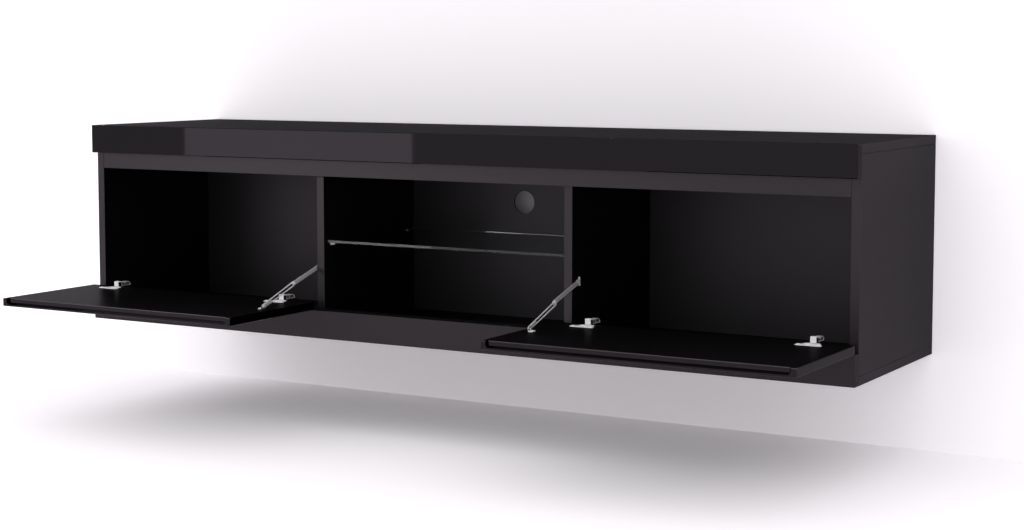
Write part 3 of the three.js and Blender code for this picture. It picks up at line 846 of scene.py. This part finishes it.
foot_screw_turn = ((0.6, 0.8, 0), (-0.8, 0.6, 0))
joint_place = {joint["name"]: np.array(joint["pos_m"]) for joint in frame["joints"]}


def bar(start, end, half, taper=1.0, around=96):
    """A bar's outline with round ends: a circle whose halves are pulled apart along the first axis, with
    the half at the start made smaller by the taper."""
    ray = circle(around, 0.5)
    far = ray[:, :1] > 0
    return np.where(far, (end, 0), (start, 0)) + half * np.where(far, 1.0, taper) * ray


def plate(outline, core, thickness, edge, flute=0.0):
    """A flat plate with rounded edges. Its faces run in from the outline to the core, which is a point or
    a line where the plate is whole, and it is wrapped where the core is the outline of a hole. A flute
    sinks the far face by that much, three edge widths in from the outline."""
    half_way = 0.29 * edge
    steps = [(edge, 0), (half_way, half_way), (0, edge)]
    steps += [(inward, thickness - height) for inward, height in reversed(steps)]
    if flute:
        steps += [(3 * edge, thickness), (3 * edge + flute, thickness - flute)]
    rings = [at_height(drawn_in(outline, inward), height) for inward, height in steps]
    return np.stack([at_height(core, 0), *rings, at_height(core, thickness - flute)])


def domed(radius, rim, tip):
    """A low dome's profile from its rim's height to its tip's: a quarter of an ellipse."""
    turn = np.linspace(0, np.pi / 2, 7)
    return np.stack([radius * np.cos(turn), rim + (tip - rim) * np.sin(turn)], -1)


def bracket_distance(place):
    """Distance from the bracket: an upright strip for the screws together with an eye for the pin."""
    return either(from_box(place, *bracket_strip), from_box(place, *bracket_eye), bracket_fillet)


def points_at(first, second, third):
    """Points from their three numbers, each of them an array or one number for all."""
    return np.stack(np.broadcast_arrays(first, second, third), -1)


def foot_rows(sheet_level):
    """The foot's rows from the top of the ear, round the bend and out over the door: how far out and up
    each stands, and half its length. The ear ends in a circle, and the sheet in two round corners."""
    ear_bottom = sheet_level + foot_bend
    ear_turn = np.linspace(0, np.pi / 2, 12)
    below = np.linspace(0, 1, 8)[1:]
    turn = np.linspace(0, np.pi / 2, 7)
    bend = turn[1:]
    widening = (foot_half_length - foot_ear_radius) * below
    rows = [
        points_at(0, foot_ear_radius * np.cos(ear_turn), foot_ear_radius * np.sin(ear_turn)),
        points_at(0, ear_bottom * below, foot_ear_radius + widening),
        points_at(foot_bend * (1 - np.cos(bend)), ear_bottom - foot_bend * np.sin(bend), foot_half_length),
        points_at(
            foot_reach - strip_thickness / 2 - foot_corner * (1 - np.sin(turn)),
            sheet_level,
            foot_half_length - foot_corner * (1 - np.cos(turn)),
        ),
    ]
    return np.concatenate(rows) + (foot_ear_start + strip_thickness / 2, 0, 0)


def bent_strip(rows):
    """A strip along the rows' path: each ring runs along one face and back along the other, which stand
    half a thickness to either side of the path."""
    path, half_length = rows[:, :2], rows[:, 2:]
    ahead = np.gradient(path, axis=0)
    ahead /= np.linalg.norm(ahead, axis=-1, keepdims=True)
    normal = np.stack([-ahead[:, 1], ahead[:, 0]], -1) * strip_thickness / 2
    share = np.cos(np.linspace(0, np.pi, 25))
    faces = []
    for hand in (1, -1):
        outward, up = (path + hand * normal).T[..., None]
        faces.append(points_at(half_length * share[::hand], up, outward))
    rings = np.concatenate(faces, 1)
    end = rings[-1:].copy()
    end[..., 1:] = path[-1, ::-1]
    return np.concatenate([rings, end])


def arm_frame(start, out, pivot, rivet, tilt=0.0):
    """Where an arm starts, which way it runs and what is square to it, and how long it is. The slotted
    arm runs a little under the rivet, so that the rivet stays in the slot while the door shuts."""
    run = rivet - pivot
    slope = np.arctan2(run[2], run[1]) - tilt
    ahead = np.array([0, np.cos(slope), np.sin(slope)])
    return (start, *pivot[1:]), ahead, np.cross((out, 0, 0), ahead), np.hypot(*run[1:])


bracket_outline = outline_round(bracket_distance, bracket_reach)
for side, out in (("left", -1), ("right", 1)):
    top_pivot = joint_place[f"{side}_stay_top_pivot"]
    foot_pivot = joint_place[f"{side}_stay_foot_pivot"]
    rivet_low, rivet_high = box_of(f"{side}_stay_rivet")
    rivet_middle = (rivet_low + rivet_high) / 2
    upright = ((0, 1, 0), (0, 0, out))

    start = first_face(f"{side}_stay_upper_arm", out)
    origin, run, square, length = arm_frame(start, out, top_pivot, rivet_middle)
    arm_outline, middle_line = bar(0, length, upper_half), bar(0, length, 0)
    rings = plate(arm_outline, middle_line, strip_thickness, arm_edge, flute_depth)
    arm = skin(f"{side}_stay_upper_strip", [lay(rings, origin, run, square)])
    finish_piece(arm, zinc, "zinc", f"{side}_stay_upper", f"{side}_stay_upper_arm")

    start = first_face(f"{side}_stay_lower_arm", out)
    origin, run, square, length = arm_frame(start, out, foot_pivot, rivet_middle, slot_tilt)
    arm_outline, slot_outline = bar(0, length, lower_half, lower_taper), bar(slot_start, length, slot_half)
    rings = plate(arm_outline, slot_outline, strip_thickness, slotted_arm_edge)
    arm = skin(f"{side}_stay_slotted_strip", [lay(rings, origin, run, square)], wrap=True)
    finish_piece(arm, nickel, "zinc", f"{side}_stay_lower", f"{side}_stay_lower_arm")
    second_finish(arm, zinc, (faces_of(arm)[0] - origin) @ run < 0.8 * slot_start)

    thickness = rivet_high[0] - rivet_low[0]
    far_rim = thickness - rivet_far_dome
    profile = [
        *domed(stay_head, rivet_dome, 0)[::-1],
        (stay_head, rivet_dome + rivet_rim),
        (stay_shank, rivet_dome + rivet_rim),
        (stay_shank, far_rim),
        *domed(stay_head, far_rim, thickness),
    ]
    origin = (first_face(f"{side}_stay_rivet", out), *rivet_middle[1:])
    rivet = skin(f"{side}_stay_domed_rivet", [lay(turned(profile), origin, *upright)])
    finish_piece(rivet, bright_nickel, "nickel", f"{side}_stay_upper", f"{side}_stay_rivet")

    base = np.array((first_face(f"{side}_stay_bracket", out), *top_pivot[1:]))
    rings = plate(bracket_outline, 0 * bracket_outline, strip_thickness, arm_edge)
    profile = [
        (0, 0),
        (stay_shank, 0),
        (stay_shank, bracket_pin),
        (stay_head, bracket_pin),
        *domed(stay_head, *bracket_head),
    ]
    grids = [lay(rings, base + (0, bracket_middle, 0), *upright), lay(turned(profile), base, *upright)]
    for screw_height in bracket_screw_heights:
        seat = base + (out * (strip_thickness - stay_screw_sunk), bracket_screw_setback, screw_height)
        grids.append(lay(screw_head(*bracket_screw), seat, *upright))
    bracket = skin(f"{side}_stay_screwed_bracket", grids)
    finish_piece(bracket, nickel, "zinc", "carcass", f"{side}_stay_bracket")

    door_level = box_of(f"{side}_stay_foot")[0][2]
    base = np.array((first_face(f"{side}_stay_foot", out), *foot_pivot[1:]))
    rings = bent_strip(foot_rows(door_level - foot_pivot[2] + strip_thickness / 2))
    foot = skin(f"{side}_stay_angle_foot", [lay(rings, base, (0, out, 0), (0, 0, 1))])
    finish_piece(foot, nickel, "nickel", f"{side}_door_leaf", f"{side}_stay_foot")
    second_finish(foot, link_steel, faces_of(foot)[0][:, 2] > door_level + foot_ear_bottom)

    profile = [
        *domed(stay_head, foot_pin_dome, 0)[::-1],
        (stay_shank, foot_pin_dome),
        (stay_shank, foot_ear_end),
        *domed(0.8 * stay_head, foot_ear_end, foot_ear_end + foot_pin_far_dome),
    ]
    seat = base + (out * (foot_ear_start + foot_screw_share * foot_reach), 0, 0)
    seat[2] = door_level + strip_thickness - stay_screw_sunk
    screw = lay(screw_head(*foot_screw), seat, *foot_screw_turn)
    pins = skin(f"{side}_stay_foot_pin", [lay(turned(profile), base, *upright), screw])
    finish_piece(pins, bright_nickel, "nickel", f"{side}_door_leaf")

# Hangers
# Zinc-plated keyhole plates let flush into the hanging rail, each held by four countersunk screws.

hanger_screw_inset = 6 * mm
hanger_screw = (3.4 * mm, 0.3 * mm)
hanger_screw_sunk = 0.1 * mm

carry(zinc, "left_hanger_plate", "right_hanger_plate")
for side in ("left", "right"):
    low, high = box_of(f"{side}_hanger_plate")
    grids = []
    for along in (low[0] + hanger_screw_inset, high[0] - hanger_screw_inset):
        for height in (low[2] + hanger_screw_inset, high[2] - hanger_screw_inset):
            seat = (along, high[1] - hanger_screw_sunk, height)
            grids.append(lay(screw_head(*hanger_screw), seat, *facing_back))
    screws = skin(f"{side}_hanger_screws", grids)
    finish_piece(screws, zinc, "zinc", "carcass")

# Room
# A white wall and a white floor whose painted glow is weaker under and behind the console, so that
# their soft shadow there is part real and part painted shadow, a white surround, a tall soft lamp that
# the gloss fascia mirrors, and the camera at the photographed angle.

floor_level = -0.506
room_reach = 6.0
room_white = (0.96, 0.93, 0.96, 1.0)
glow_white = (1.0, 0.965, 1.0, 1.0)
wall_glow_level = 0.182
wall_glow_above = 0.023
wall_glow_left = 0.29
wall_glow_right = 0.374
wall_left = (-1.43, -0.514)
wall_right = (0.28, 1.8)
console_left = (-0.8, -0.78)
console_right = (0.78, 0.8)
console_top = (0.05, 0.06)
console_bottom = (-0.335, -0.325)
hidden_glow = 0.01
mirrored_glow = 0.89
hole_shade = (0.08**2, 0.14**2)
floor_glow_least = 0.177
floor_glow_more = 0.139
floor_left = (-0.814, -0.489)
floor_right = (0.477, 0.947)
floor_front = (-0.535, -0.216)
floor_left_gain = 1.07
floor_right_gain = 1.15
floor_front_gain = 0.74
lamp_place = (-1.701, -2.284, 0.11)
lamp_turn = np.radians(-6.4735)
lamp_width = 0.81
lamp_height = 1.2
lamp_brightness = 1.5
camera_place = (1.816788, -3.239314, 0.198902)
camera_turn = np.radians(30.08)
camera_tilt = np.radians(-4.795)
lens_shift = -0.05217
sensor_width = 36.0
focal_length_in_pixels = 1889.334
photo_width_in_pixels = 1024


def room_paint(name, glow_of):
    """White paint with a soft glow of its own, which is a formula on the place, so that it fades to plain
    white away from the console. Seen from behind, the sheet is clear."""
    material = bpy.data.materials.new(name)
    material.use_nodes = True
    tree = material.node_tree
    tree.nodes.clear()
    place = place_in(material)
    behind = place.node("NewGeometry", {}, {}, "Backfacing")
    camera_ray, glossy_ray, clear_ray = (
        place.node("LightPath", {}, {}, f"Is {kind} Ray") for kind in ("Camera", "Glossy", "Transmission")
    )
    strength = glow_of(place) * (camera_ray | glossy_ray | clear_ray)
    paint = place.node("BsdfDiffuse", {}, {"Color": room_white})
    glow = place.node("Emission", {}, {"Color": glow_white, "Strength": strength})
    lit = place.node("AddShader", {}, {0: paint, 1: glow})
    clear = place.node("BsdfTransparent", {}, {})
    either_face = place.node("MixShader", {}, {0: behind, 1: lit, 2: clear})
    output = tree.nodes.new("ShaderNodeOutputMaterial")
    tree.links.new(either_face.socket, output.inputs["Surface"])
    return material


def sheet_of_room(name, near, far, glow_of):
    """One flat rectangle of the room: its near and its far side, each a place forward and a height, run
    along the whole width."""
    corners = [(-room_reach, *near), (room_reach, *near), (room_reach, *far), (-room_reach, *far)]
    mesh = bpy.data.meshes.new(name)
    mesh.from_pydata(corners, [], [(0, 1, 2, 3)])
    mesh.materials.append(room_paint(f"white_{name}_paint", glow_of))
    piece = bpy.data.objects.new(name, mesh)
    bpy.context.scene.collection.objects.link(piece)


def wall_glow(place):
    """Painted light: even over the middle, more towards both ends, and hardly any behind the console,
    which leaves painted shadow there, except in the reflections on the console's own back, away from the
    cable hole."""
    along, up = place.part(0), place.part(2)
    left_end, right_end = 1.0 - along.step(*wall_left), along.step(*wall_right)
    beside = 1.0 - along.step(*console_left) * (1.0 - along.step(*console_right))
    above, below = up.step(*console_top), 1.0 - up.step(*console_bottom)
    outside = beside | below | above
    from_hole = along.squares(up - cable_hole_height).step(*hole_shade)
    glossy_ray = place.node("LightPath", {}, {}, "Is Glossy Ray")
    hidden = hidden_glow + mirrored_glow * glossy_ray * from_hole
    ends = wall_glow_left * left_end + wall_glow_right * right_end
    return (wall_glow_level + wall_glow_above * above + ends) * outside + hidden * (1.0 - outside)


def floor_glow(place):
    """Painted light: least by the wall under the console, which deepens the shadow there as painted
    shadow, and more towards both ends and the front.
    """
    along, forward = place.part(0), place.part(1)
    left = floor_left_gain * (1.0 - along.step(*floor_left))
    right = floor_right_gain * along.step(*floor_right)
    front = floor_front_gain * (1.0 - forward.step(*floor_front))
    return floor_glow_least + floor_glow_more * (1.0 - (1.0 - left) * (1.0 - right) * (1.0 - front))


sheet_of_room("floor", (-room_reach, floor_level), (room_reach, floor_level), floor_glow)
sheet_of_room("wall", (0.0, floor_level), (0.0, room_reach), wall_glow)

world = bpy.data.worlds.new("white_surround")
bpy.context.scene.world = world
world.use_nodes = True
surround = world.node_tree.nodes["Background"]
surround.inputs["Color"].default_value = (1.0, 1.0, 1.0, 1.0)
surround.inputs["Strength"].default_value = 1.0

lamp = bpy.data.lights.new("tall_soft_lamp", "AREA")
lamp.shape = "RECTANGLE"
lamp.size = lamp_width
lamp.size_y = lamp_height
lamp.energy = lamp_brightness * np.pi * lamp_width * lamp_height
lamp_holder = bpy.data.objects.new("tall_soft_lamp", lamp)
lamp_holder.location = lamp_place
lamp_holder.rotation_euler = (np.pi / 2, 0.0, lamp_turn)
lamp_holder.visible_camera = False
bpy.context.scene.collection.objects.link(lamp_holder)

lens = bpy.data.cameras.new("camera")
lens.sensor_width = sensor_width
lens.lens = focal_length_in_pixels * sensor_width / photo_width_in_pixels
lens.shift_y = lens_shift
camera = bpy.data.objects.new("camera", lens)
camera.location = camera_place
camera.rotation_euler = (np.pi / 2 + camera_tilt, 0.0, camera_turn)
bpy.context.scene.collection.objects.link(camera)
bpy.context.scene.camera = camera
bpy.context.scene.view_settings.view_transform = "Standard"
